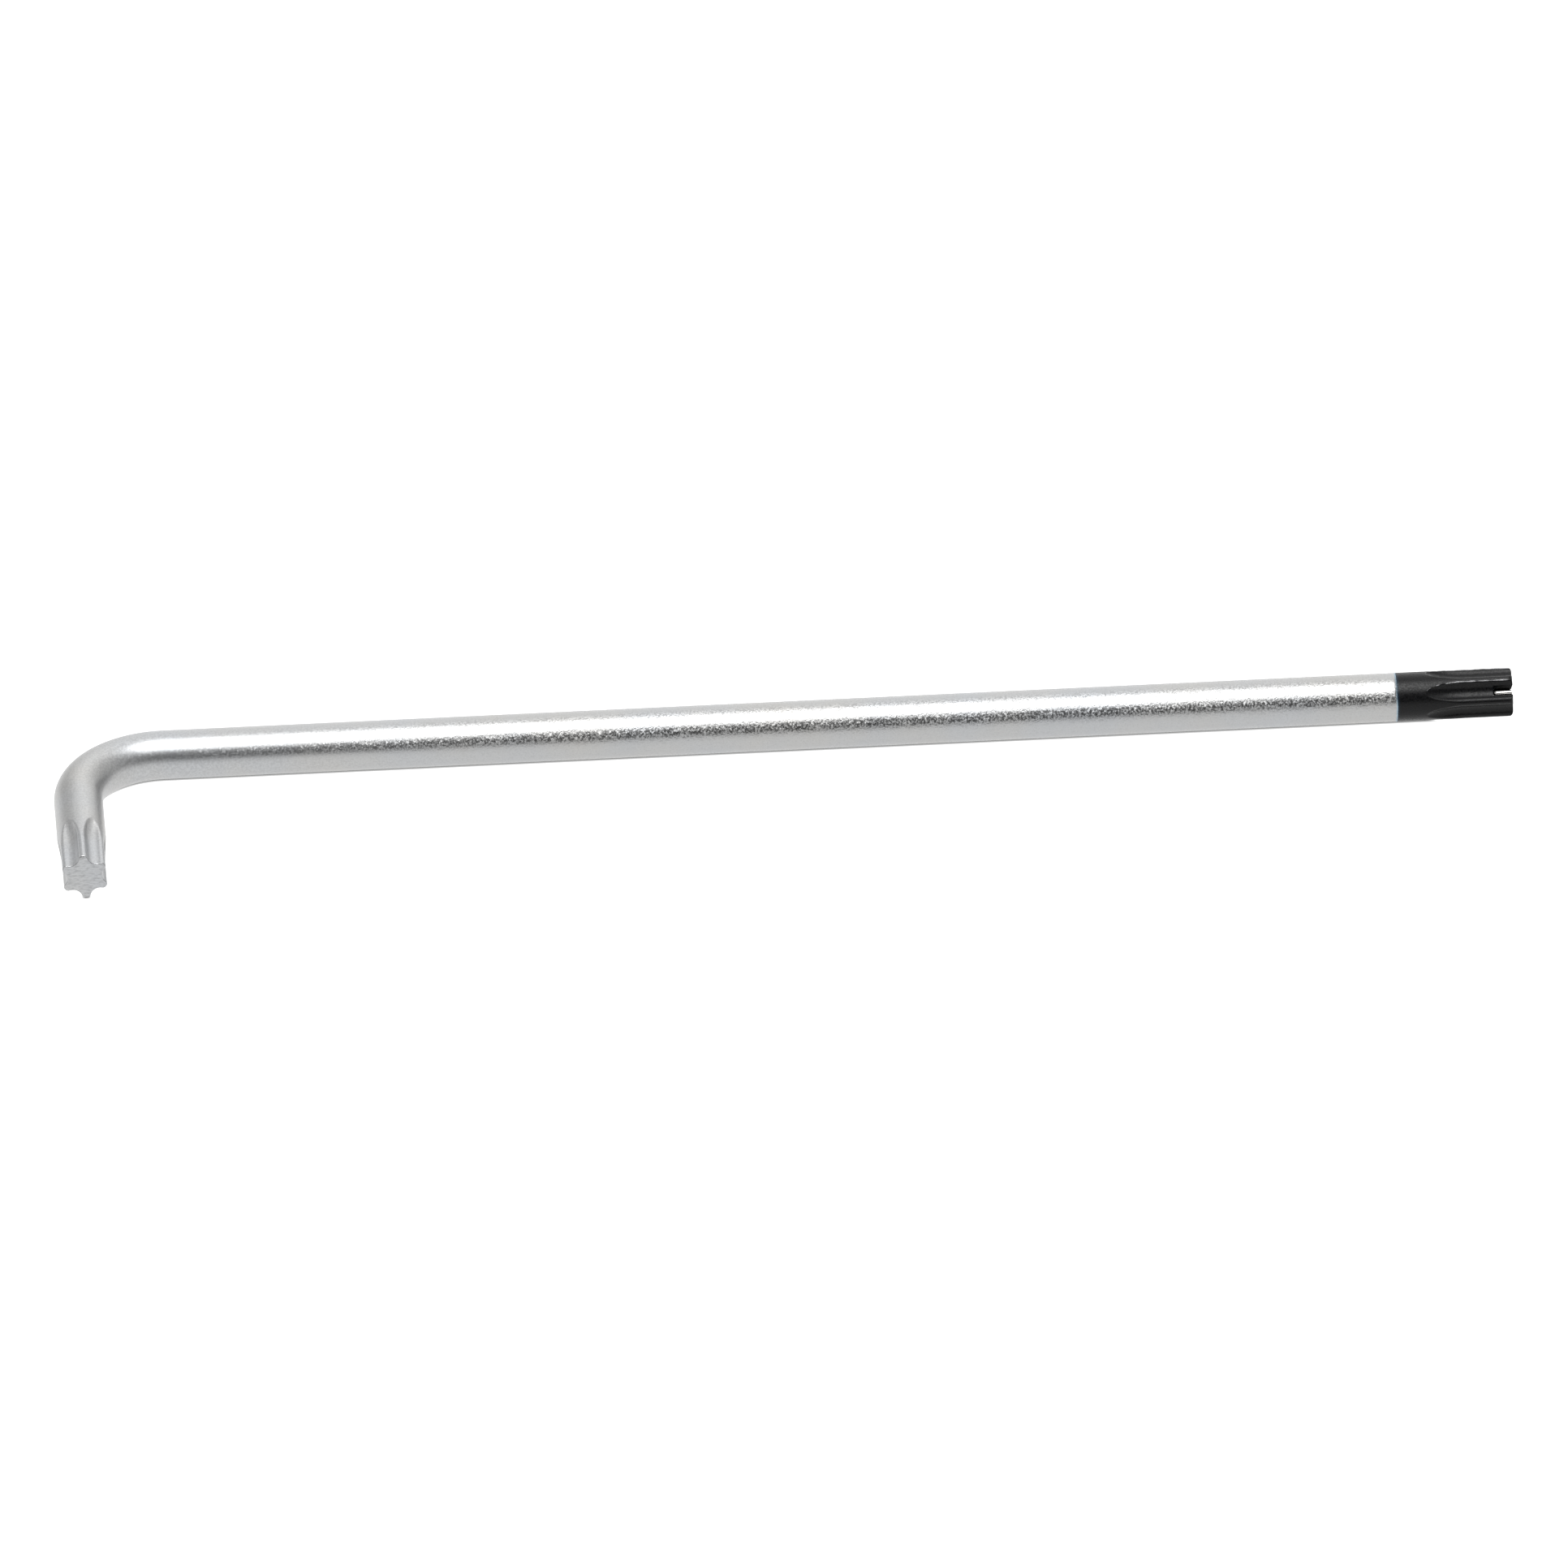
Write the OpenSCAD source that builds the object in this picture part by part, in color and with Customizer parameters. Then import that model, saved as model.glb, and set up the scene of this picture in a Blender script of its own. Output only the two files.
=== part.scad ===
// Long-arm key for six-lobe screws, lying flat: the long arm runs along +X, the short arm along -Y.
// The origin is under the middle of the key, on the surface that it lies on.

/* [Bar] */
// Length of the key along its long arm, over the outside of the bend
long_len = 202; // [120:0.5:300]
// Length of the key along its short arm, over the outside of the bend
short_len = 36.5; // [34:0.5:80]
// Diameter of the round bar
bar_d = 6.75; // [6.3:0.05:7.6]
// Radius of the bend, to the middle of the bar
bend_r = 12.2; // [8:0.1:14]

/* [Star ends] */
// Distance across two opposite valleys of a star
valley_d = 4.85; // [4.4:0.05:5.2]
// Radius of the rounded crest of a lobe
crest_r = 0.58; // [0.5:0.01:0.7]
// How far the crests lie below the bar's surface
crest_relief = 0.015; // [0.01:0.005:0.1]
// Length of the full-depth star on the long arm
tip_star_len = 6.9; // [4:0.1:9]
// Length of the full-depth star on the short arm
short_star_len = 6; // [4:0.1:8]
// Length of the cone from the bar down to the core of a star
shoulder_len = 2; // [1:0.1:3]
// Length over which a flute rises out of the bar
runout_len = 5.1; // [3:0.1:6.5]
// Rounding of the rim of the long arm's end
tip_rim = 0.6; // [0.3:0.05:0.9]
// Rounding of the rim of the short arm's end
short_rim = 0.25; // [0.2:0.05:0.8]
// Angle of the long arm's slotted flute above the plane of the key
tip_turn = 36; // [0:1:60]
// Angle of the short arm's upper lobe from square to the plane of the key
short_turn = 3; // [-30:1:30]

/* [Black tip] */
// Length of the blackened end of the long arm
black_len = 16; // [15.6:0.1:40]

/* [Screw-holding clip] */
// Width of the slot across the long arm's end
slot_w = 1.45; // [1.35:0.05:1.7]
// Depth of the slot from the end face
slot_depth = 2.75; // [2.3:0.05:4]
// Diameter of the spring wire
wire_d = 0.65; // [0.5:0.01:0.66]
// Radius of the wire's two bends, to the middle of the wire
wire_bend_r = 0.5; // [0.4:0.01:0.7]
// How far a leg stands proud of the floor of its flute
leg_proud = 0.13; // [0.05:0.01:0.3]
// Clearance between a leg and the wall of the slot
leg_side_gap = 0.05; // [0.03:0.01:0.1]
// Distance of a leg's free end behind the end face
leg_setback = 0.1; // [0.05:0.01:0.4]
// Gap at the root of a leg, where it flexes
leg_root_gap = 0.05; // [0.04:0.01:0.1]
// Chamfer on the cut end of a leg
leg_chamfer = 0.12; // [0.05:0.01:0.2]
// Depth of the seat for the wire in the slot's floor
seat_depth = 0.1; // [0.05:0.01:0.15]

/* [Hidden] */
$fn = 96;

lobes = 6;
lobe_step = 360 / lobes;
// Tools reach this far past the surface that they cut
over = 1;

// The bar
bar_r = bar_d / 2;
long_y = short_len / 2 - bar_r;
short_x = bar_r - long_len / 2;
bend_x = short_x + bend_r;
bend_y = long_y - bend_r;
black_x = long_len / 2 - black_len;
short_straight = bend_y + short_len / 2;

// The star: a flute is the arc that runs from crest to crest through the valley.
// It bites a little into the crest's round, which leaves the fine line along each lobe.
valley_r = valley_d / 2;
crest_bite = 0.03;
crest_mid = bar_r - crest_relief - crest_r;
soft_r = crest_r - crest_bite;
half_step = lobe_step / 2;
flute_r = (pow(valley_r, 2) + pow(crest_mid, 2) - 2 * valley_r * crest_mid * cos(half_step) - pow(soft_r, 2))
    / (2 * (crest_mid * cos(half_step) + soft_r - valley_r));
flute_mid = valley_r + flute_r;

// The run-out: a flute leaves the bar along an arc
flute_depth = bar_r - valley_r;
runout_r = (pow(runout_len, 2) + pow(flute_depth, 2)) / (2 * flute_depth);
runout_turn = acos(1 - (flute_depth + flute_r / 3) / runout_r);

// The solid core of the star reaches to where a flute's arc meets a crest's round
crest_to_flute = sqrt(pow(flute_mid, 2) + pow(crest_mid, 2) - 2 * flute_mid * crest_mid * cos(half_step));
meet = (pow(crest_to_flute, 2) + pow(flute_r, 2) - pow(crest_r, 2)) / (2 * pow(crest_to_flute, 2));
core_r = norm([flute_mid + meet * (crest_mid * cos(half_step) - flute_mid), meet * crest_mid * sin(half_step)]);

// The rim's arc is a little flatter than a quarter circle, so it meets both faces at a fine edge
rim_arc = 1.3;
rim_inset = 0.5 + sqrt((pow(rim_arc, 2) - 0.5) / 2);

// The clip lies slantwise in the slot, so each leg stands against its own wall
wire_r = wire_d / 2;
slot_z = black_len - slot_depth;
leg_u = valley_r + leg_proud - wire_r;
leg_v = slot_w / 2 - leg_side_gap - wire_r;
leg_w = norm([leg_u, leg_v]);
clip_turn = atan2(leg_v, leg_u);
wire_z = slot_z + wire_r - seat_depth;
bridge_half = leg_w - wire_bend_r;
leg_z = wire_z + wire_bend_r + leg_root_gap;
leg_len = black_len - leg_setback - leg_z;

// The cutter for one flute: straight at full depth, then rising out of the bar along an arc
module flute(len, full) {
    translate([flute_mid, 0, len - full]) {
        cylinder(r = flute_r, h = full + 2 * over);
        translate([runout_r, 0, 0])
            rotate([90, 0, 0])
                rotate([0, 0, 180])
                    rotate_extrude(angle = runout_turn)
                        translate([runout_r, 0])
                            circle(flute_r);
    }
}

// The blank for one end, standing on its cut end: the bar, a conical shoulder, and a core with six round lobes.
// It reaches past the end face, which is cut when the rim is rounded.
module star_blank(len, full, turn) {
    rotate_extrude()
        polygon([
            [0, 0],
            [bar_r, 0],
            [bar_r, len - full - shoulder_len],
            [core_r, len - full],
            [core_r, len + over],
            [0, len + over]
        ]);
    for (i = [0 : lobes - 1])
        rotate([0, 0, turn + half_step + i * lobe_step])
            translate([crest_mid, 0, len - full - shoulder_len - over])
                rotate([0, 0, 180])
                    cylinder(r = crest_r, h = full + shoulder_len + 2 * over);
}

// What an end is turned with: the end face is cut square, and the rim's arc takes rim off both the side and the face
module end_cut(len, rim) {
    inset = rim * rim_inset;
    rotate_extrude() {
        translate([0, len])
            square([bar_r + over, 2 * over]);
        translate([bar_r - inset, len - inset])
            difference() {
                square(inset + over);
                circle(rim * rim_arc);
            }
    }
}

// One end of the key, standing on its cut end, with a valley at the angle turn from +X
module star_end(len, full, rim, turn) {
    difference() {
        difference() {
            star_blank(len, full, turn);
            for (i = [0 : lobes - 1])
                rotate([0, 0, turn + i * lobe_step])
                    flute(len, full);
        }
        end_cut(len, rim);
    }
}

// Puts a piece that stands on the finish line into the long arm
module on_tip() {
    translate([black_x, long_y, bar_r])
        rotate([0, 90, 0])
            rotate([0, 0, 270 - tip_turn])
                children();
}

// Puts a piece of wire into the slot, along the slanting line between the legs
module in_slot() {
    on_tip()
        rotate([0, 0, clip_turn])
            children();
}

// The wire across the slot's floor, with the bends at both ends
module bridge_wire() {
    translate([-bridge_half, 0, wire_z])
        rotate([0, 90, 0])
            cylinder(r = wire_r, h = 2 * bridge_half);
    for (side = [0, 180])
        rotate([0, 0, side])
            translate([bridge_half, 0, wire_z + wire_bend_r])
                rotate([90, 0, 0])
                    rotate([0, 0, -90])
                        rotate_extrude(angle = 90)
                            translate([wire_bend_r, 0])
                                circle(wire_r);
}

// One leg: straight wire with a chamfered end
module leg() {
    translate([leg_w, 0, leg_z])
        rotate_extrude()
            polygon([
                [0, 0],
                [wire_r, 0],
                [wire_r, leg_len - leg_chamfer],
                [wire_r - leg_chamfer, leg_len],
                [0, leg_len]
            ]);
}

// The satin chrome bar: long arm up to the finish line, bend, and short arm with its star
module key_bar() {
    color("silver") {
        translate([bend_x, long_y, bar_r])
            rotate([0, 90, 0])
                cylinder(r = bar_r, h = black_x - bend_x);
        translate([bend_x, bend_y, bar_r])
            rotate([0, 0, 90])
                rotate_extrude(angle = 90)
                    translate([bend_r, 0])
                        circle(bar_r);
        translate([short_x, bend_y, bar_r])
            rotate([90, 0, 0])
                star_end(short_straight, short_star_len, short_rim, short_turn);
    }
}

// The blackened end with its star, slot and the seat for the wire
module black_tip() {
    color("dimgray")
        on_tip()
            difference() {
                star_end(black_len, tip_star_len, tip_rim, 0);
                translate([-bar_r - over, -slot_w / 2, slot_z])
                    cube([bar_d + 2 * over, slot_w, slot_depth + over]);
                rotate([0, 0, clip_turn])
                    bridge_wire();
            }
}

module clip_bridge() {
    color("gainsboro")
        in_slot()
            bridge_wire();
}

module clip_leg_front() {
    color("gainsboro")
        in_slot()
            leg();
}

module clip_leg_rear() {
    color("gainsboro")
        in_slot()
            rotate([0, 0, 180])
                leg();
}

key_bar();
black_tip();
clip_bridge();
clip_leg_front();
clip_leg_rear();
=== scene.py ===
# %% [markdown]
# # A long-arm key for six-lobe screws
# The key is one steel bar, bent to an L, with a six-lobe star on each end. It is plated in satin chrome,
# the tip of the long arm is blackened, and a spring wire in a slot there holds a screw by the recess.
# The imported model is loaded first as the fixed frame. Every piece made below takes its place from it.

# %% Load the frame
import math

import bpy
import numpy as np
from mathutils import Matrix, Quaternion, Vector


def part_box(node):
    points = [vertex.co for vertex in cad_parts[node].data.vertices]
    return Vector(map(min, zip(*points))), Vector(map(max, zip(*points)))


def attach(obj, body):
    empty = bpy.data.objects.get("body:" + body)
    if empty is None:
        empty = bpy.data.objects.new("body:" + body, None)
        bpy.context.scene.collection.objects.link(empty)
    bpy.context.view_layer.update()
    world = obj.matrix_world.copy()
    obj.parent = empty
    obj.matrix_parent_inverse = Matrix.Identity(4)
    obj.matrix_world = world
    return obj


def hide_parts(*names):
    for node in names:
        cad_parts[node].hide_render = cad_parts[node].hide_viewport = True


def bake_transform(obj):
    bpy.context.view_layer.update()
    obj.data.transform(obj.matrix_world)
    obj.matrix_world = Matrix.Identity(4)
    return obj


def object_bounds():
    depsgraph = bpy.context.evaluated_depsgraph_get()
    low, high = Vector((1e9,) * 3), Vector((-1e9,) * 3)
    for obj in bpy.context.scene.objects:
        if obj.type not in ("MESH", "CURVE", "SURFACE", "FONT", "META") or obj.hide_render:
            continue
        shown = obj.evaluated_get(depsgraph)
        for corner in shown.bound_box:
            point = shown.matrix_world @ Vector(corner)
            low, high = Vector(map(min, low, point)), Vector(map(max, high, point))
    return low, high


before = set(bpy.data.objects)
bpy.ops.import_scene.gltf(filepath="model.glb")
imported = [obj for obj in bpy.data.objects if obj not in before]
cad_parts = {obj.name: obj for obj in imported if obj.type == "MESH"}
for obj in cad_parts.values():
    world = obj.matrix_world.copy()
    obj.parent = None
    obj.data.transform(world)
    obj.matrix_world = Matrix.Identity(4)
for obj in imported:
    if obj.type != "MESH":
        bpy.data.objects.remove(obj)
cad_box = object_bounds()
MM = 0.001
cad_size = [round(v / MM, 2) for v in cad_box[1] - cad_box[0]]
print("frame:", sorted(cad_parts), "box in mm:", cad_size)

# %% [markdown]
# ## The bar's line
# A swept shape needs two things: the line that its section follows, and the section. The line is read
# from the frame's boxes, so it can't drift from the solids. It runs from the short arm's end face, along
# the short arm, round the bend and along the long arm to the tip.

# %% Read the bar's line from the frame
key_low, key_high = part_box("key_bar")
tip_low, tip_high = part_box("black_tip")
bar_r = key_high.z / 2
short_x = key_low.x + bar_r
long_y = key_high.y - bar_r
short_end = key_low.y
finish_x = tip_low.x
tip_end = tip_high.x
bend_r = 12.2 * MM
bend_x = short_x + bend_r
bend_y = long_y - bend_r
short_len = bend_y - short_end
bend_len = bend_r * math.pi / 2
finish_at = short_len + bend_len + finish_x - bend_x
tip_at = finish_at + tip_end - finish_x


def bar_line(at):
    """Point on the bar's line at a distance from the short end, and the direction to the inside of the L."""
    if at < short_len:
        return Vector((short_x, short_end + at, bar_r)), Vector((1, 0, 0))
    if at < short_len + bend_len:
        turn = (at - short_len) / bend_r
        inward = Vector((math.cos(turn), -math.sin(turn), 0))
        return Vector((bend_x, bend_y, bar_r)) - inward * bend_r, inward
    return Vector((bend_x + at - short_len - bend_len, long_y, bar_r)), Vector((0, -1, 0))


print(f"bar {2 * bar_r / MM:.2f} mm thick, {tip_at / MM:.1f} mm along its line")

# %% [markdown]
# ## Camera
# The photograph looks down on the flat key from the side of the short arm with a long lens, so the two
# arms hardly converge. A far camera with a narrow field gives the same view.

# %% Camera
azimuth = math.radians(-2.15)
elevation = math.radians(29.49)
roll = math.radians(-1.62)
camera_distance = 8.0
lens_mm = 1333.5
sensor_mm = 36
target = Vector((-0.51 * MM, -1.52 * MM, 3.43 * MM))
to_camera = Vector((
    math.sin(azimuth) * math.cos(elevation),
    -math.cos(azimuth) * math.cos(elevation),
    math.sin(elevation),
))
camera = bpy.data.objects.new("camera", bpy.data.cameras.new("camera"))
camera.data.lens = lens_mm
camera.data.sensor_width = sensor_mm
camera.data.clip_start = 0.01
camera.location = target + to_camera * camera_distance
camera.rotation_mode = "QUATERNION"
camera.rotation_quaternion = (-to_camera).to_track_quat("-Z", "Y") @ Quaternion((0, 0, 1), roll)
bpy.context.scene.collection.objects.link(camera)
bpy.context.scene.camera = camera
print("camera at", [round(v, 3) for v in camera.location])

# %% [markdown]
# ## Helpers for colour and shader nodes
# Colours are written as the sRGB hex values that a colour picker shows, and shaders want linear light, so
# one function converts them. One more adds a node with its settings and links, which keeps each material
# readable from top to bottom. A pattern's scale is worked out from its real size in millimetres.

# %% Colour and node helpers


def linear(hex_colour):
    """An sRGB hex colour as linear RGBA."""
    parts = [int(hex_colour[i:i + 2], 16) / 255 for i in (1, 3, 5)]
    return [c / 12.92 if c <= 0.04045 else ((c + 0.055) / 1.055) ** 2.4 for c in parts] + [1.0]


def add(tree, kind, inputs=None, **settings):
    """Adds a node. inputs maps a socket to a value, or to another node's output, which is then linked."""
    node = tree.nodes.new(kind)
    for name, value in settings.items():
        setattr(node, name, value)
    for socket, value in (inputs or {}).items():
        if isinstance(value, bpy.types.NodeSocket):
            tree.links.new(value, node.inputs[socket])
        else:
            node.inputs[socket].default_value = value
    return node


def new_material(name):
    """An empty node material and its tree, ready for add()."""
    material = bpy.data.materials.new(name)
    material.use_nodes = True
    material.node_tree.nodes.clear()
    return material, material.node_tree


def per_mm(size_mm):
    """Texture scale at which one cell of a pattern is this large, for coordinates in metres."""
    return 1 / (size_mm * MM)


print("#808080 in linear light:", round(linear("#808080")[0], 3))

# %% [markdown]
# ## Studio
# The key lies on a white light table under one wide softbox. The table shows up in the lower half of the
# bar, the softbox is the broad white streak, and the dim room on the camera's side is the dark line between
# the two. A real softbox fades towards its rim, which keeps the ends of the streak soft, so the light gets
# the same fade through its nodes. The room is brighter behind the key than in front of it, and that is the
# grey along the bar's upper edge.

# %% White light table
floor_size = 6.0
table_glow = 1.3
haze_mm = 1.5
contact_reach = 0.35 * MM
half = floor_size / 2
floor_mesh = bpy.data.meshes.new("floor")
floor_mesh.from_pydata(
    [(-half, -half, 0), (half, -half, 0), (half, half, 0), (-half, half, 0)], [], [(0, 1, 2, 3)]
)
floor = bpy.data.objects.new("floor", floor_mesh)
bpy.context.scene.collection.objects.link(floor)
# Acrylic lit from below is white by its own glow, so a shadow from above hardly shows on it. Occlusion dims
# the glow only right beside the key: a painted contact shadow, the thin dark line where the bar touches the
# table.
table, tree = new_material("white_acrylic_light_table")
where = add(tree, "ShaderNodeTexCoord").outputs["Object"]
haze = add(tree, "ShaderNodeTexNoise", {"Vector": where, "Scale": per_mm(haze_mm), "Detail": 3.0})
bump = add(tree, "ShaderNodeBump", {"Height": haze.outputs["Fac"], "Strength": 0.05, "Distance": 0.05 * MM})
# Painted contact shadow: occlusion darkens the colour of the glow.
contact = add(tree, "ShaderNodeAmbientOcclusion", {"Distance": contact_reach})
acrylic = add(tree, "ShaderNodeBsdfPrincipled", {
    "Base Color": linear("#404040"),
    "Roughness": 0.9,
    "Specular IOR Level": 0.1,
    "Emission Color": contact.outputs["Color"],
    "Emission Strength": table_glow,
    "Normal": bump.outputs["Normal"],
})
add(tree, "ShaderNodeOutputMaterial", {"Surface": acrylic.outputs["BSDF"]})
floor_mesh.materials.append(table)
print(f"light table {floor_size:.0f} m wide, contact line within {contact_reach / MM:.2f} mm of the key")

# %% Softbox
softbox_rise = math.radians(76.8)
softbox_distance = 1.0
softbox_width = 1.0
softbox_depth = 1.06
softbox_fade = 0.3
softbox_radiance = 8.0
softbox = bpy.data.lights.new("softbox", "AREA")
softbox.shape = "RECTANGLE"
softbox.size = softbox_width
softbox.size_y = softbox_depth
softbox.energy = softbox_radiance * math.pi * softbox.size * softbox.size_y
softbox.use_nodes = True
tree = softbox.node_tree
tree.nodes.clear()
spot = add(tree, "ShaderNodeNewGeometry").outputs["Parametric"]
spot = add(tree, "ShaderNodeSeparateXYZ", {"Vector": spot})
fades = []
for axis in ("X", "Y"):
    from_rim = add(tree, "ShaderNodeMath", {0: spot.outputs[axis], 1: 0.5}, operation="PINGPONG")
    fade = add(tree, "ShaderNodeMapRange", {
        "Value": from_rim.outputs["Value"], "From Max": softbox_fade}, interpolation_type="SMOOTHSTEP")
    fades.append(fade.outputs["Result"])
level = add(tree, "ShaderNodeMath", {0: fades[0], 1: fades[1]}, operation="MULTIPLY")
lit = add(tree, "ShaderNodeEmission", {"Strength": level.outputs["Value"]})
add(tree, "ShaderNodeOutputLight", {"Surface": lit.outputs["Emission"]})
softbox_object = bpy.data.objects.new("softbox", softbox)
softbox_object.location = (
    0,
    long_y - softbox_distance * math.cos(softbox_rise),
    softbox_distance * math.sin(softbox_rise),
)
softbox_object.rotation_euler = (math.pi / 2 - softbox_rise, 0, 0)
softbox_object.visible_camera = False
bpy.context.scene.collection.objects.link(softbox_object)
print(f"softbox {softbox.size:.2f} x {softbox.size_y:.2f} m, {softbox.energy:.1f} W")

# %% Room
room_bright = 0.8
panel_side = 0.2
panel_half_width = 0.7
panel_bright = 0.95
room = bpy.data.worlds.new("room")
bpy.context.scene.world = room
room.use_nodes = True
tree = room.node_tree
tree.nodes.clear()
direction = add(tree, "ShaderNodeTexCoord").outputs["Generated"]
axes = add(tree, "ShaderNodeSeparateXYZ", {"Vector": direction})
dim = add(tree, "ShaderNodeMapRange", {
    "Value": axes.outputs["Y"], "From Min": -1.0, "From Max": 0.2, "To Min": 0.0, "To Max": room_bright})
aside = add(tree, "ShaderNodeMath", {0: axes.outputs["X"], 1: panel_side}, operation="SUBTRACT")
width = add(tree, "ShaderNodeMath", {0: aside.outputs["Value"]}, operation="ABSOLUTE")
panel = add(tree, "ShaderNodeMapRange", {
    "Value": width.outputs["Value"],
    "From Max": panel_half_width,
    "To Min": panel_bright,
    "To Max": 0.0,
}, interpolation_type="SMOOTHSTEP")
behind = add(tree, "ShaderNodeMapRange", {"Value": axes.outputs["Y"], "From Min": 0.1, "From Max": 0.7})
wall = add(tree, "ShaderNodeMath", {
    0: panel.outputs["Result"],
    1: behind.outputs["Result"],
    2: dim.outputs["Result"],
}, operation="MULTIPLY_ADD")
glow = add(tree, "ShaderNodeBackground", {"Color": linear("#FFFFFF"), "Strength": wall.outputs["Value"]})
add(tree, "ShaderNodeOutputWorld", {"Surface": glow.outputs["Background"]})
bpy.context.scene.view_settings.view_transform = "Standard"
print(f"room {room_bright} bright, panel behind the key {panel_bright} brighter")

# %% [markdown]
# ## The star's section
# Each end has six flutes. A flute's section is a circle that bites into the bar, and its edges are rounded.
# Where the flutes are deep the two rounds on a ridge meet, and the ridge becomes one round crest. Working
# this out as a radius for each angle gives clean rings of points, and soft edges that catch the light as
# forged and plated steel does. Booleans would leave knife edges.
# Each point also gets a share of wear. A ridge wears most on the flank that pushes the screw. On the upper
# side of the bar the share is raised as a painted highlight: bare steel lines where the softbox glints.

# %% Measures of a star
lobes = 6
half_step = math.pi / lobes
valley_r = 4.85 / 2 * MM
crest_round = 0.58 * MM
crest_relief = 0.015 * MM
crest_mid = bar_r - crest_relief - crest_round
crest_side = crest_mid * math.cos(half_step)
flute_r = (valley_r**2 + crest_mid**2 - 2 * valley_r * crest_side - crest_round**2) / (
    2 * (crest_side + crest_round - valley_r))
flute_mid = valley_r + flute_r
runout_len = 5.1 * MM
flute_depth = bar_r - valley_r
runout_r = (runout_len**2 + flute_depth**2) / (2 * flute_depth)
# The crest's round changes to the edge of the run-out over this share of the run-out's length.
edge_change = 0.6
edge_break = 0.1 * MM
ridge_width = 0.1 * MM / bar_r
idle_flank_wear = 0.4
mean_wear = 0.55
# Extra bare steel on the upper side of the bar: a painted highlight where the softbox glints on the edges.
upper_glint = 0.45
rim_wear = 0.5
print(f"flute radius {flute_r / MM:.2f} mm, run-out radius {runout_r / MM:.1f} mm")

# %% Section of the bar at any depth of its flutes


def section(angle, mid, edge_round, turn):
    """Radius, and share of wear and painted highlight, at each angle from a flute's middle."""
    radius = np.full(angle.shape, bar_r)
    ridge = np.zeros(angle.shape)
    if mid - flute_r >= bar_r:
        return radius, ridge
    offset = (angle + half_step) % (2 * half_step) - half_step
    away = np.abs(offset)
    reach = flute_r + edge_round
    round_mid = bar_r - edge_round
    round_at = math.acos(min(1.0, (mid**2 + round_mid**2 - reach**2) / (2 * mid * round_mid)))
    if round_at > half_step:
        round_at = half_step
        round_mid = mid * math.cos(half_step) - math.sqrt(reach**2 - (mid * math.sin(half_step))**2)
    round_centre = Vector((math.cos(round_at), math.sin(round_at))) * round_mid
    meet = Vector((mid, 0)).lerp(round_centre, flute_r / reach)
    meet_at = math.atan2(meet.y, meet.x)
    in_flute = away < meet_at
    in_round = ~in_flute & (away < round_at)
    a = away[in_flute]
    radius[in_flute] = mid * np.cos(a) - np.sqrt(flute_r**2 - (mid * np.sin(a))**2)
    a = away[in_round] - round_at
    radius[in_round] = round_mid * np.cos(a) + np.sqrt(edge_round**2 - (round_mid * np.sin(a))**2)
    ridge = np.exp(-((away - (meet_at + round_at) / 2) / ridge_width)**2)
    # The upper side gets more: painted highlight on top of the wear.
    ridge *= np.where(offset > 0, 1.0, idle_flank_wear) * (mean_wear + upper_glint * np.sin(angle + turn))
    return radius, ridge


def star_end(angle, from_end, full_len, rim, run_edge, turn):
    """Section at a distance from an end face: full star, run-out of the flutes, or plain bar."""
    rise = min(max(from_end - full_len, 0), runout_len)
    mid = flute_mid + runout_r - math.sqrt(runout_r**2 - rise**2)
    share = min(rise / (edge_change * runout_len), 1)
    edge = crest_round + (run_edge - crest_round) * share * share * (3 - 2 * share)
    radius, ridge = section(angle - turn, mid, edge, turn)
    if from_end < rim:
        rim_r = bar_r - rim + math.sqrt(rim**2 - (rim - from_end)**2)
        ridge = np.where(radius > rim_r, rim_wear, ridge)
        radius = np.minimum(radius, rim_r)
    broken = edge_break - from_end
    if broken > 0:
        radius = radius - edge_break + math.sqrt(edge_break**2 - broken**2)
    return radius, ridge


valley, _ = section(np.zeros(1), flute_mid, crest_round, 0.0)
print(f"valley radius of a full star {valley[0] / MM:.3f} mm")

# %% [markdown]
# ## Sweeping the section
# A ring of points is set at each station along the line, and neighbouring rings are joined with quads.
# Stations are close together where the flutes rise out of the bar and at the broken edges, and far apart on
# the plain shank. Three values are kept on the points for the finishes: the share of wear and painted
# highlight, the distance from the line where the blackening ends, and whether a point is on a cut end face.

# %% Rings and stations
around = 360
angles = np.linspace(0, 2 * math.pi, around, endpoint=False)
line_wander = 0.06 * MM
wander_reach = 2.5 * MM
rim_zone = 0.8 * MM


def finish_wander(angle):
    """How far the dipping line wanders along the bar at an angle round it, as three waves."""
    waves = ((0.6, 2, 0.7), (0.4, 5, 2.1), (0.2, 9, 0.0))
    return line_wander * sum(share * np.sin(count * angle + start) for share, count, start in waves)


def ring_points(at, radius):
    """One ring of points. Near the finish line it wanders with the line."""
    centre, inward = bar_line(at)
    near_line = math.exp(-((at - finish_at) / wander_reach)**2)
    ring = np.array(centre) + radius[:, None] * (
        np.cos(angles)[:, None] * np.array(inward) + np.sin(angles)[:, None] * np.array((0, 0, 1)))
    ring[:, 0] += finish_wander(angles) * near_line
    return ring


def end_stations(full_len):
    """Distances from an end face at which its rings lie."""
    face = [edge_break * s for s in (0, 0.08, 0.3, 0.6, 1)]
    rim = np.linspace(edge_break, rim_zone, 12)[1:]
    star = np.linspace(rim_zone, full_len, 8)[1:]
    run = np.linspace(full_len, full_len + runout_len, 56)[1:]
    return [*face, *rim, *star, *run]


print(f"{around} points in a ring, {2 * math.pi * bar_r / around / MM:.3f} mm apart")

# %% Sweep
cap_rings = (0.97, 0.7, 0.4)


def joined(first, second):
    """Quads between two rings whose points start at these numbers."""
    following = [(j + 1) % around for j in range(around)]
    return [(first + j, second + j, second + k, first + k) for j, k in enumerate(following)]


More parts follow.
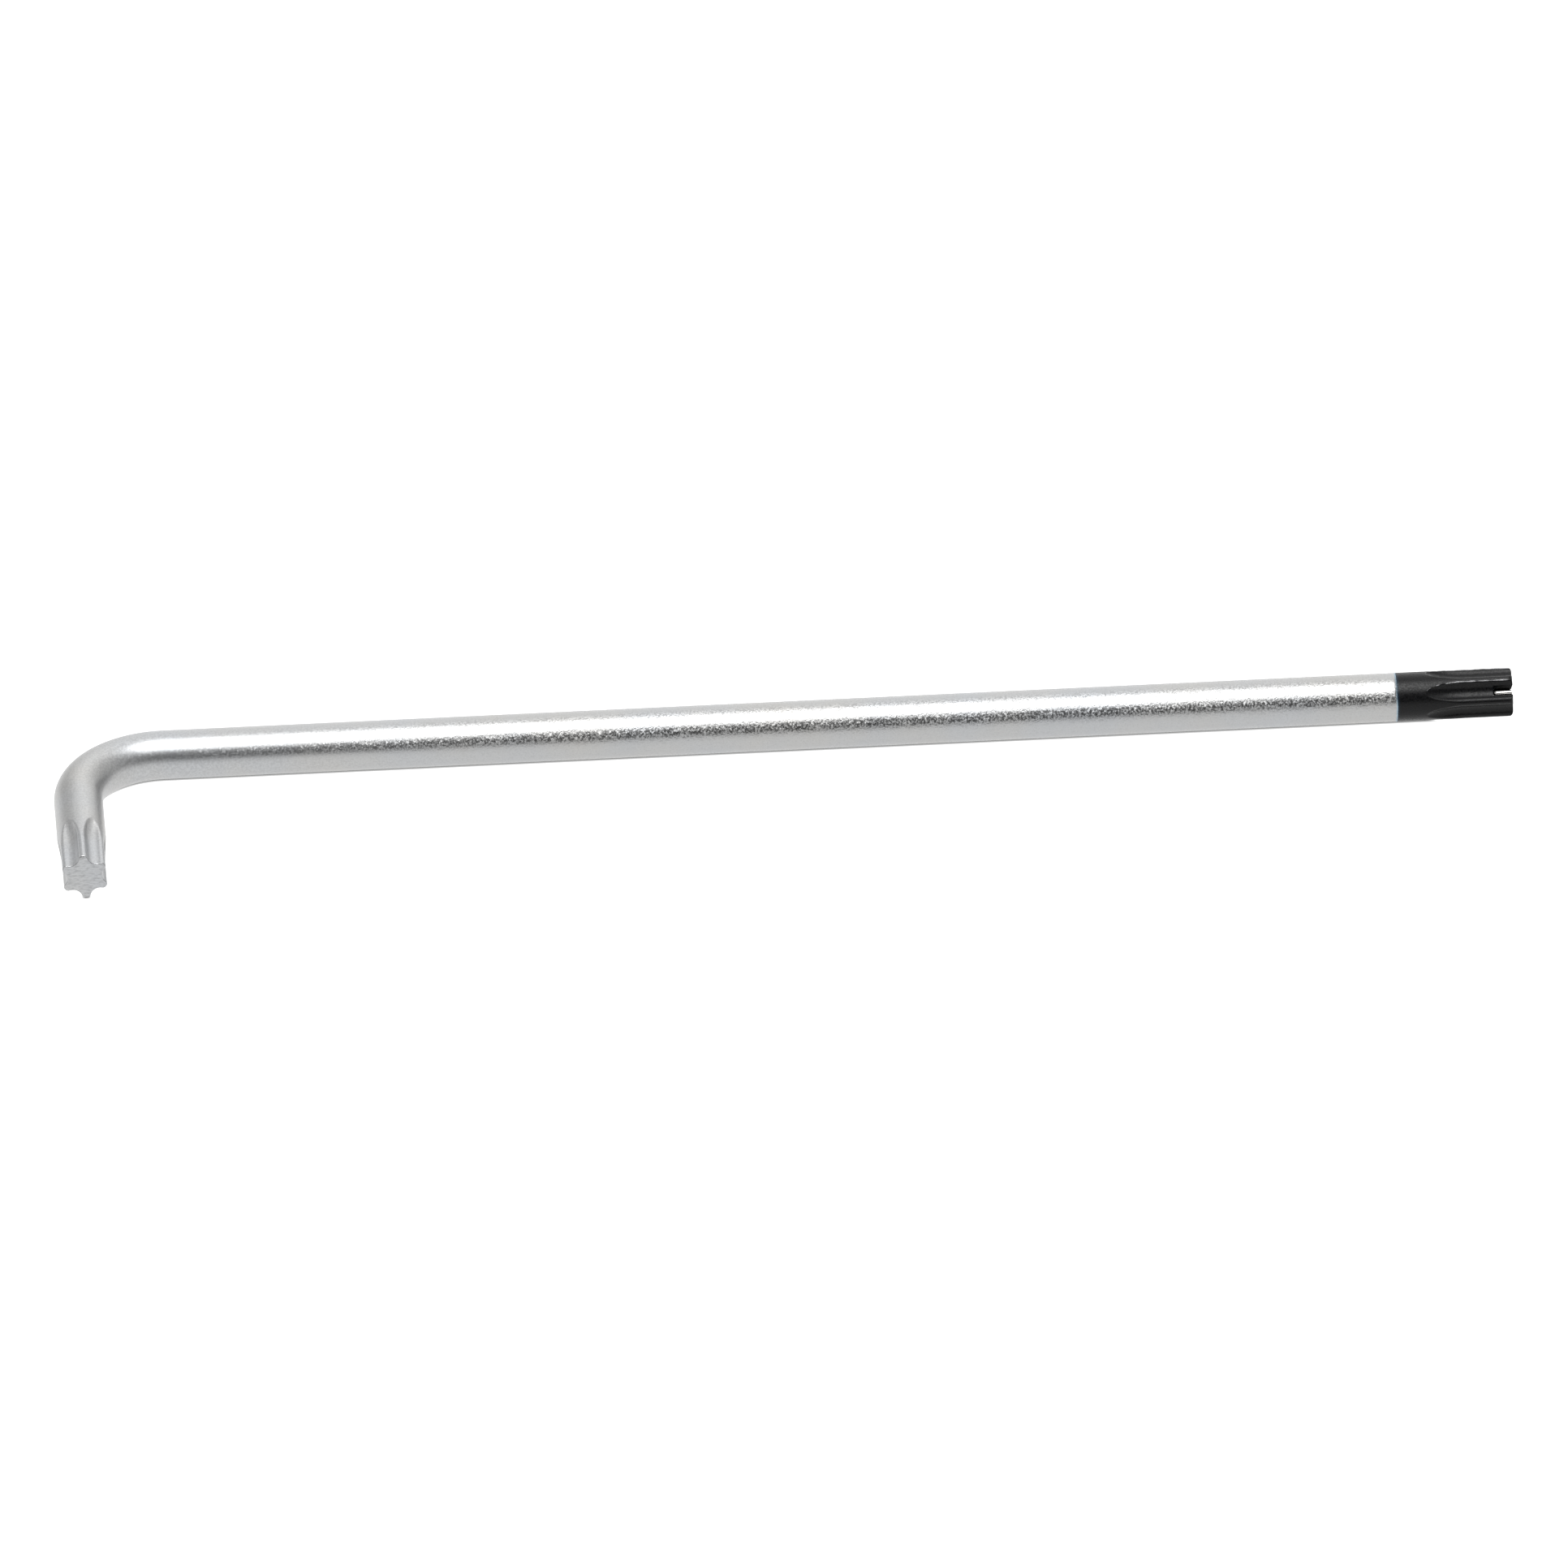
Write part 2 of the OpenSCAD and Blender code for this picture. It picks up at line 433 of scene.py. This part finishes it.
def sweep_mesh(name, stations, shape_at):
    """A closed mesh through a ring at each station. shape_at gives a ring's radii and wear."""
    shapes = [shape_at(at) for at in stations]
    rings = [ring_points(at, radius) for at, (radius, ridge) in zip(stations, shapes)]
    points = [p for ring in rings for p in ring]
    faces = []
    for i in range(len(rings) - 1):
        faces += joined(i * around, (i + 1) * around)
    values = {
        "ridge": np.concatenate([ridge for radius, ridge in shapes]),
        "from_line": np.concatenate([np.full(around, at - finish_at) for at in stations]),
        "face": np.zeros(len(points)),
    }
    for end in (0, len(rings) - 1):
        outer = rings[end]
        centre = outer.mean(axis=0)
        cap = []
        last = end * around
        for share in cap_rings:
            base = len(points)
            points += [centre + (p - centre) * share for p in outer]
            cap += joined(last, base)
            last = base
        hub = len(points)
        points.append(centre)
        cap += [(last + j, hub, last + (j + 1) % around) for j in range(around)]
        faces += cap if end else [face[::-1] for face in cap]
        extra = len(points) - len(values["ridge"])
        for key, value in (("ridge", 0.0), ("from_line", stations[end] - finish_at), ("face", 1.0)):
            values[key] = np.concatenate([values[key], np.full(extra, value)])
    mesh = bpy.data.meshes.new(name)
    mesh.from_pydata(points, [], faces)
    for key, value in values.items():
        mesh.attributes.new(key, "FLOAT", "POINT").data.foreach_set("value", value.astype(np.float32))
    mesh.shade_smooth()
    piece = bpy.data.objects.new(name, mesh)
    bpy.context.scene.collection.objects.link(piece)
    print(f"{name}: {len(points)} points, {len(faces)} faces")
    return piece


# %% [markdown]
# ## The plated bar
# Short star, short arm, bend and shank are one piece of steel under one skin of chrome, so they are one
# sweep from the short end face to the finish line.

# %% Plated bar
short_star_len = 6.0 * MM
short_rim = 0.25 * MM
short_turn = math.radians(3)
short_edge = 0.4 * MM
line_zone_len = 6 * MM
short_flutes = short_star_len + runout_len
plain = np.linspace(short_flutes, short_len, 8)[1:]
bend = np.linspace(short_len, short_len + bend_len, 40)[1:]
shank = np.linspace(short_len + bend_len, finish_at - line_zone_len, 40)[1:]
line_zone = np.linspace(finish_at - line_zone_len, finish_at, 14)[1:]
bar_stations = [*end_stations(short_star_len), *plain, *bend, *shank, *line_zone]
plated_bar = sweep_mesh(
    "plated_bar", bar_stations,
    lambda at: star_end(angles, at, short_star_len, short_rim, short_edge, short_turn))
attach(plated_bar, "key")
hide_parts("key_bar")

# %% [markdown]
# ## The blackened end
# The same sweep makes the long arm's star. The slot for the clip is then sawn through it with a Boolean, as
# it is sawn or milled on the real key, and the sharp walls are right there. The slot is drawn as wide as the
# clip, so no light shows past the wire. Its walls get a finish of their own, so their faces are marked. That
# finish is darker and duller than the oxide outside: painted shade for the deep, narrow slot.

# %% Blackened end
tip_star_len = 6.9 * MM
tip_rim = 0.6 * MM
tip_turn = math.radians(36)
tip_edge = 0.28 * MM
tip_flutes = tip_star_len + runout_len
black_len = tip_at - finish_at
tip_stations = [tip_at - s for s in end_stations(tip_star_len)]
collar = [tip_at - s for s in np.linspace(tip_flutes, black_len, 12)[1:]]
black_end = sweep_mesh(
    "blackened_end", [*tip_stations, *collar][::-1],
    lambda at: star_end(angles, tip_at - at, tip_star_len, tip_rim, tip_edge, tip_turn))

# %% Saw the slot
slot_w = 1.355 * MM
slot_depth = 2.75 * MM
past = 1 * MM
hair = 0.001 * MM
slot_sharp_angle = math.radians(40)
slot_up = Vector((0, -math.cos(tip_turn), math.sin(tip_turn)))
slot_across = slot_up.cross(Vector((1, 0, 0)))
saw_mesh = bpy.data.meshes.new("saw")
corners = [
    Vector((tip_end - slot_depth if x < 0 else tip_end + past, long_y, bar_r))
    + slot_across * y * slot_w / 2 + slot_up * z * (bar_r + past)
    for x in (-1, 1) for y in (-1, 1) for z in (-1, 1)
]
saw_mesh.from_pydata(corners, [], [
    (0, 1, 3, 2), (4, 6, 7, 5), (0, 4, 5, 1), (2, 3, 7, 6), (0, 2, 6, 4), (1, 5, 7, 3)])
saw = bpy.data.objects.new("saw", saw_mesh)
bpy.context.scene.collection.objects.link(saw)
cut = black_end.modifiers.new("slot", "BOOLEAN")
cut.object = saw
cut.operation = "DIFFERENCE"
cut.solver = "EXACT"
sawn = bpy.data.meshes.new_from_object(black_end.evaluated_get(bpy.context.evaluated_depsgraph_get()))
black_end.modifiers.clear()
black_end.data = sawn
bpy.data.objects.remove(saw)
sawn.set_sharp_from_angle(angle=slot_sharp_angle)
# The slot's walls take the second finish, which paints the slot's shade.
for polygon in sawn.polygons:
    off_axis = polygon.center - Vector((polygon.center.x, long_y, bar_r))
    between_walls = abs(off_axis.dot(slot_across)) < slot_w / 2 + hair
    before_floor = polygon.center.x > tip_end - slot_depth - hair
    polygon.material_index = int(between_walls and before_floor)
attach(black_end, "key")
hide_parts("black_tip")
print(f"slot {slot_w / MM:.2f} mm wide, {slot_depth / MM:.2f} mm deep; {len(sawn.polygons)} faces left")

# %% [markdown]
# ## The spring wire
# On the real key the clip is one hairpin of wire. Its bridge sits on the slot's floor and its two legs
# spring in when a screw goes on. Each half is a tube from the middle of the bridge to the end of one leg.
# A blend lets the tube bend at the root of the leg, as wire does, where two rigid tubes would part.

# %% Measures of the wire
wire_sides = 28
leg_front_low, leg_front_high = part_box("clip_leg_front")
bridge_low, bridge_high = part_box("clip_bridge")
wire_r = (leg_front_high.y - leg_front_low.y) / 2
wire_x = bridge_low.x + wire_r
wire_bend_r = bridge_high.x - wire_x
clip_mid = Vector((wire_x, long_y, bar_r))
leg_chamfer = 0.12 * MM
wire_sharp_angle = math.radians(50)
along_bar = Vector((1, 0, 0))
print(f"wire {2 * wire_r / MM:.2f} mm thick, bent to {wire_bend_r / MM:.2f} mm")

# %% Spring wire, a half for each leg


def wire_path(outward, leg_at, leg_end):
    """Points, headings and radii along half the hairpin, and the root of its leg."""
    corner = clip_mid + outward * (leg_at - wire_bend_r) + along_bar * wire_bend_r
    path = [(clip_mid, outward, wire_r)]
    for turn in np.linspace(0, math.pi / 2, 16):
        point = corner - along_bar * wire_bend_r * math.cos(turn) + outward * wire_bend_r * math.sin(turn)
        path.append((point, outward * math.cos(turn) + along_bar * math.sin(turn), wire_r))
    root = path[-1][0]
    leg_len = leg_end - root.x
    for s in np.linspace(0, leg_len - leg_chamfer, 14)[1:]:
        path.append((root + along_bar * s, along_bar, wire_r))
    for turn in np.linspace(0, math.pi / 2, 6)[1:-1]:
        shrink = leg_chamfer * (1 - math.cos(turn))
        reach = leg_len - leg_chamfer * (1 - math.sin(turn))
        path.append((root + along_bar * reach, along_bar, wire_r - shrink))
    path.append((root + along_bar * leg_len, along_bar, wire_r - leg_chamfer))
    return path, root


def wire_half(name, leg_node, replaced):
    """Half the hairpin: half the bridge, the bend and one leg."""
    low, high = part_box(leg_node)
    outward = (low + high) / 2 - clip_mid
    outward.x = 0
    leg_at = outward.length
    outward.normalize()
    square = along_bar.cross(outward)
    path, root = wire_path(outward, leg_at, high.x)
    points = []
    for point, heading, radius in path:
        side = heading.cross(square)
        for j in range(wire_sides):
            turn = 2 * math.pi * j / wire_sides
            points.append(point + (square * math.cos(turn) + side * math.sin(turn)) * radius)
    faces = [tuple(range(wire_sides))[::-1]]
    for first in range(0, (len(path) - 1) * wire_sides, wire_sides):
        second = first + wire_sides
        for j in range(wire_sides):
            k = (j + 1) % wire_sides
            faces.append((first + j, first + k, second + k, second + j))
    faces.append(tuple(range((len(path) - 1) * wire_sides, len(path) * wire_sides)))
    mesh = bpy.data.meshes.new(name)
    mesh.from_pydata(points, [], faces)
    mesh.shade_smooth()
    mesh.set_sharp_from_angle(angle=wire_sharp_angle)
    piece = bpy.data.objects.new(name, mesh)
    bpy.context.scene.collection.objects.link(piece)
    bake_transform(piece)
    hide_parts(*replaced)
    print(f"{name}: leg {(high.x - root.x) / MM:.2f} mm long")
    return piece


front_wire = wire_half("clip_wire_front", "clip_leg_front", ["clip_leg_front", "clip_bridge"])
rear_wire = wire_half("clip_wire_rear", "clip_leg_rear", ["clip_leg_rear"])

# %% [markdown]
# ## Satin chrome
# Blasted steel keeps its fine grain under chrome plating. Chrome is a pale, slightly blue metal. The grain
# spreads each reflection, so lights turn into soft streaks, and single bumps flash where the streak ends.
# One noise drives the grain's slope, gloss and colour together, because a bump alone is smoothed away in
# the finished picture. The grain is shallow on the short arm and in the bend, and deepens along the long
# arm. The short end face is cut and not blasted, so it shows the saw's strokes instead.

# %% Grain and saw strokes
# Blasting leaves grains of about a tenth of a millimetre. They are drawn larger, or none would show.
grain_mm = 0.27
grain_height = 0.035 * MM
shallow_share = 0.15
coarse_len = 60 * MM
# The saw's strokes are about this far apart, and some three times as long.
stroke_mm = 0.25
stroke_stretch = 0.3
chrome, tree = new_material("satin_chrome_on_blasted_steel")
coords = add(tree, "ShaderNodeTexCoord")
where = coords.outputs["Object"]
along = add(tree, "ShaderNodeSeparateXYZ", {"Vector": where}).outputs["X"]
face = add(tree, "ShaderNodeAttribute", attribute_name="face").outputs["Fac"]
line = add(tree, "ShaderNodeAttribute", attribute_name="from_line").outputs["Fac"]
grain = add(tree, "ShaderNodeTexNoise", {
    "Vector": where, "Scale": per_mm(grain_mm), "Detail": 1.0}).outputs["Fac"]
coarse = add(tree, "ShaderNodeMapRange", {
    "Value": along,
    "From Min": bend_x,
    "From Max": bend_x + coarse_len,
    "To Min": shallow_share,
    "To Max": 1.0,
}).outputs["Result"]
ripple = add(tree, "ShaderNodeMath", {0: grain, 1: coarse}, operation="MULTIPLY")
stretched = add(tree, "ShaderNodeMapping", {"Vector": where, "Scale": (stroke_stretch, 1, 1)})
strokes = add(tree, "ShaderNodeTexNoise", {
    "Vector": stretched.outputs["Vector"],
    "Scale": per_mm(stroke_mm),
    "Detail": 3.0,
    "Roughness": 0.6,
}).outputs["Fac"]
height = add(tree, "ShaderNodeMix", {
    "Factor": face, "A": ripple.outputs["Value"], "B": strokes}, data_type="FLOAT")
bump = add(tree, "ShaderNodeBump", {
    "Height": height.outputs["Result"], "Strength": 1.0, "Distance": grain_height})
print(f"grain drawn {grain_mm} mm wide and {grain_height / MM:.3f} mm high")

# %% Flashing grains
# The tallest grains on the upper side are tipped upwards, so that they flash where the streak ends.
flash_lean = 0.4
up = add(tree, "ShaderNodeSeparateXYZ", {"Vector": coords.outputs["Normal"]}).outputs["Z"]
upper = add(tree, "ShaderNodeMapRange", {"Value": up, "From Min": 0.2, "From Max": 0.5})
tall = add(tree, "ShaderNodeMapRange", {
    "Value": grain, "From Min": 0.6, "From Max": 0.75, "To Max": flash_lean})
flash = add(tree, "ShaderNodeMath", {
    0: tall.outputs["Result"], 1: upper.outputs["Result"]}, operation="MULTIPLY")
lean = add(tree, "ShaderNodeMath", {0: flash.outputs["Value"], 1: coarse}, operation="MULTIPLY")
side = add(tree, "ShaderNodeCombineXYZ", {"Z": lean.outputs["Value"]})
tipped = add(tree, "ShaderNodeVectorMath", {
    0: bump.outputs["Normal"], 1: side.outputs["Vector"]}, operation="ADD")
normal = add(tree, "ShaderNodeVectorMath", {0: tipped.outputs["Vector"]}, operation="NORMALIZE")
print(f"tallest grains: normal tipped upwards by up to {flash_lean} of its length")

# %% Colour and gloss of the chrome
cloud_mm = 9
polished = 0.28
blasted = 0.58
sawn_face = 0.42
bend_spread = 0.4
fringe_strength = 0.4
cloud = add(tree, "ShaderNodeTexNoise", {"Vector": where, "Scale": per_mm(cloud_mm), "Detail": 2.0})
tone = add(tree, "ShaderNodeMix", {
    "Factor": cloud.outputs["Fac"], "A": linear("#A2A5A9"), "B": linear("#A8A6A2")}, data_type="RGBA")
# The photograph shows a thin blue edge at the finish line, so a trace of blue is mixed in there.
fringe = add(tree, "ShaderNodeMapRange", {
    "Value": line,
    "From Min": -0.3 * MM,
    "From Max": -0.05 * MM,
    "To Max": fringe_strength,
}, interpolation_type="SMOOTHSTEP")
edged = add(tree, "ShaderNodeMix", {
    "Factor": fringe.outputs["Result"],
    "A": tone.outputs["Result"],
    "B": linear("#6FA9C8"),
}, data_type="RGBA")
speckle = add(tree, "ShaderNodeMapRange", {
    "Value": grain, "From Min": 0.35, "From Max": 0.65, "To Min": 0.9, "To Max": 1.1})
marks = add(tree, "ShaderNodeMapRange", {
    "Value": strokes, "From Min": 0.3, "From Max": 0.55, "To Min": 0.75, "To Max": 1.1})
shade = add(tree, "ShaderNodeMix", {
    "Factor": face, "A": speckle.outputs["Result"], "B": marks.outputs["Result"]}, data_type="FLOAT")
shaded = add(tree, "ShaderNodeVectorMath", {
    0: edged.outputs["Result"], "Scale": shade.outputs["Result"]}, operation="SCALE")
patch = add(tree, "ShaderNodeMapRange", {"Value": grain, "From Min": 0.4, "From Max": 0.65})
spread = add(tree, "ShaderNodeMix", {
    "Factor": coarse, "A": bend_spread, "B": patch.outputs["Result"]}, data_type="FLOAT")
gloss = add(tree, "ShaderNodeMapRange", {
    "Value": spread.outputs["Result"], "To Min": polished, "To Max": blasted})
dull = add(tree, "ShaderNodeMix", {
    "Factor": face, "A": gloss.outputs["Result"], "B": sawn_face}, data_type="FLOAT")
shader = add(tree, "ShaderNodeBsdfPrincipled", {
    "Base Color": shaded.outputs["Vector"],
    "Metallic": 1.0,
    "Roughness": dull.outputs["Result"],
    "Normal": normal.outputs["Vector"],
})
add(tree, "ShaderNodeOutputMaterial", {"Surface": shader.outputs["BSDF"]})
plated_bar.data.materials.append(chrome)
print(f"{chrome.name}: {len(tree.nodes)} nodes, roughness {polished} to {blasted}")

# %% [markdown]
# ## Blackened steel
# Black oxide is a thin dark skin, satin and almost neutral. It rubs off first along the ridges, where the
# bare steel shows as fine bright lines, broken where a patch of oxide still holds. More of these lines lie
# on the upper side, as a painted highlight. Nothing rubs the walls of the slot, so the oxide stays matt
# there, over the fine marks of the saw.

# %% Rubbed black oxide
# The blasted grain shows through the oxide, drawn about as coarse as on the chrome.
oxide_grain_mm = 0.25
oxide_grain_height = 0.02 * MM
wear_patch_mm = 1.3
black, tree = new_material("black_oxide_on_steel")
where = add(tree, "ShaderNodeTexCoord").outputs["Object"]
ridge = add(tree, "ShaderNodeAttribute", attribute_name="ridge")
line = add(tree, "ShaderNodeAttribute", attribute_name="from_line").outputs["Fac"]
grain = add(tree, "ShaderNodeTexNoise", {"Vector": where, "Scale": per_mm(oxide_grain_mm), "Detail": 2.0})
patches = add(tree, "ShaderNodeTexNoise", {"Vector": where, "Scale": per_mm(wear_patch_mm), "Detail": 2.0})
# The ridge share carries wear and, on the upper side, painted highlight.
rubbed_and_glint = add(tree, "ShaderNodeMath", {
    0: ridge.outputs["Fac"], 1: patches.outputs["Fac"]}, operation="MULTIPLY")
# Bare steel where rubbed, and on the upper side also as painted highlight.
wear_and_glint = add(tree, "ShaderNodeMapRange", {
    "Value": rubbed_and_glint.outputs["Value"], "From Min": 0.3, "From Max": 0.5})
fringe = add(tree, "ShaderNodeMapRange", {
    "Value": line, "From Min": 0.05 * MM, "From Max": 0.35 * MM, "To Min": 1.0, "To Max": 0.0})
skin = add(tree, "ShaderNodeMix", {
    "Factor": fringe.outputs["Result"], "A": linear("#080809"), "B": linear("#0C1E2A")}, data_type="RGBA")
tone = add(tree, "ShaderNodeMix", {
    "Factor": wear_and_glint.outputs["Result"],
    "A": skin.outputs["Result"],
    "B": linear("#C0C0C2"),
}, data_type="RGBA")
bump = add(tree, "ShaderNodeBump", {
    "Height": grain.outputs["Fac"], "Strength": 1.0, "Distance": oxide_grain_height})
gloss = add(tree, "ShaderNodeMapRange", {
    "Value": grain.outputs["Fac"], "From Min": 0.35, "From Max": 0.65, "To Min": 0.46, "To Max": 0.26})
shader = add(tree, "ShaderNodeBsdfPrincipled", {
    "Base Color": tone.outputs["Result"],
    "Metallic": wear_and_glint.outputs["Result"],
    "Roughness": gloss.outputs["Result"],
    "Specular IOR Level": 0.18,
    "Normal": bump.outputs["Normal"],
})
add(tree, "ShaderNodeOutputMaterial", {"Surface": shader.outputs["BSDF"]})
print(f"{black.name}: {len(tree.nodes)} nodes, wear in patches of {wear_patch_mm} mm")

# %% Matt black oxide in the slot, with painted shade
saw_mark_mm = 0.15
saw_mark_stretch = 0.1
slot_oxide_and_shade, tree = new_material("black_oxide_and_painted_shade_in_slot")
where = add(tree, "ShaderNodeTexCoord").outputs["Object"]
drawn = add(tree, "ShaderNodeMapping", {"Vector": where, "Scale": (1, saw_mark_stretch, saw_mark_stretch)})
marks = add(tree, "ShaderNodeTexNoise", {
    "Vector": drawn.outputs["Vector"], "Scale": per_mm(saw_mark_mm), "Detail": 2.0})
# Darker than the oxide outside and with little shine: painted shade for the depth of the slot.
tone = add(tree, "ShaderNodeMix", {
    "Factor": marks.outputs["Fac"], "A": linear("#050505"), "B": linear("#0B0B0C")}, data_type="RGBA")
bump = add(tree, "ShaderNodeBump", {"Height": marks.outputs["Fac"], "Strength": 0.5, "Distance": 0.02 * MM})
shader = add(tree, "ShaderNodeBsdfPrincipled", {
    "Base Color": tone.outputs["Result"],
    "Roughness": 0.85,
    "Specular IOR Level": 0.05,
    "Normal": bump.outputs["Normal"],
})
add(tree, "ShaderNodeOutputMaterial", {"Surface": shader.outputs["BSDF"]})
for finish in (black, slot_oxide_and_shade):
    black_end.data.materials.append(finish)
print(f"{slot_oxide_and_shade.name}: saw marks {saw_mark_mm} mm apart")

# %% [markdown]
# ## Bright spring wire
# Wire is drawn through a die, which leaves it bright, with fine lines along its length. The lines break
# each highlight into thin streaks. A noise that is stretched along the legs draws them.

# %% Bright drawn wire
die_line_mm = 0.08
die_line_stretch = 0.08
wire, tree = new_material("bright_drawn_spring_wire")
where = add(tree, "ShaderNodeTexCoord").outputs["Object"]
squeezed = add(tree, "ShaderNodeMapping", {"Vector": where, "Scale": (die_line_stretch, 1, 1)})
lines = add(tree, "ShaderNodeTexNoise", {
    "Vector": squeezed.outputs["Vector"], "Scale": per_mm(die_line_mm), "Detail": 2.0})
bump = add(tree, "ShaderNodeBump", {"Height": lines.outputs["Fac"], "Strength": 0.3, "Distance": 0.01 * MM})
gloss = add(tree, "ShaderNodeMapRange", {"Value": lines.outputs["Fac"], "To Min": 0.16, "To Max": 0.3})
shader = add(tree, "ShaderNodeBsdfPrincipled", {
    "Base Color": linear("#D2D0CC"),
    "Metallic": 1.0,
    "Roughness": gloss.outputs["Result"],
    "Normal": bump.outputs["Normal"],
})
add(tree, "ShaderNodeOutputMaterial", {"Surface": shader.outputs["BSDF"]})
for piece in (front_wire, rear_wire):
    piece.data.materials.append(wire)
print(f"{wire.name}: die lines {die_line_mm} mm apart")
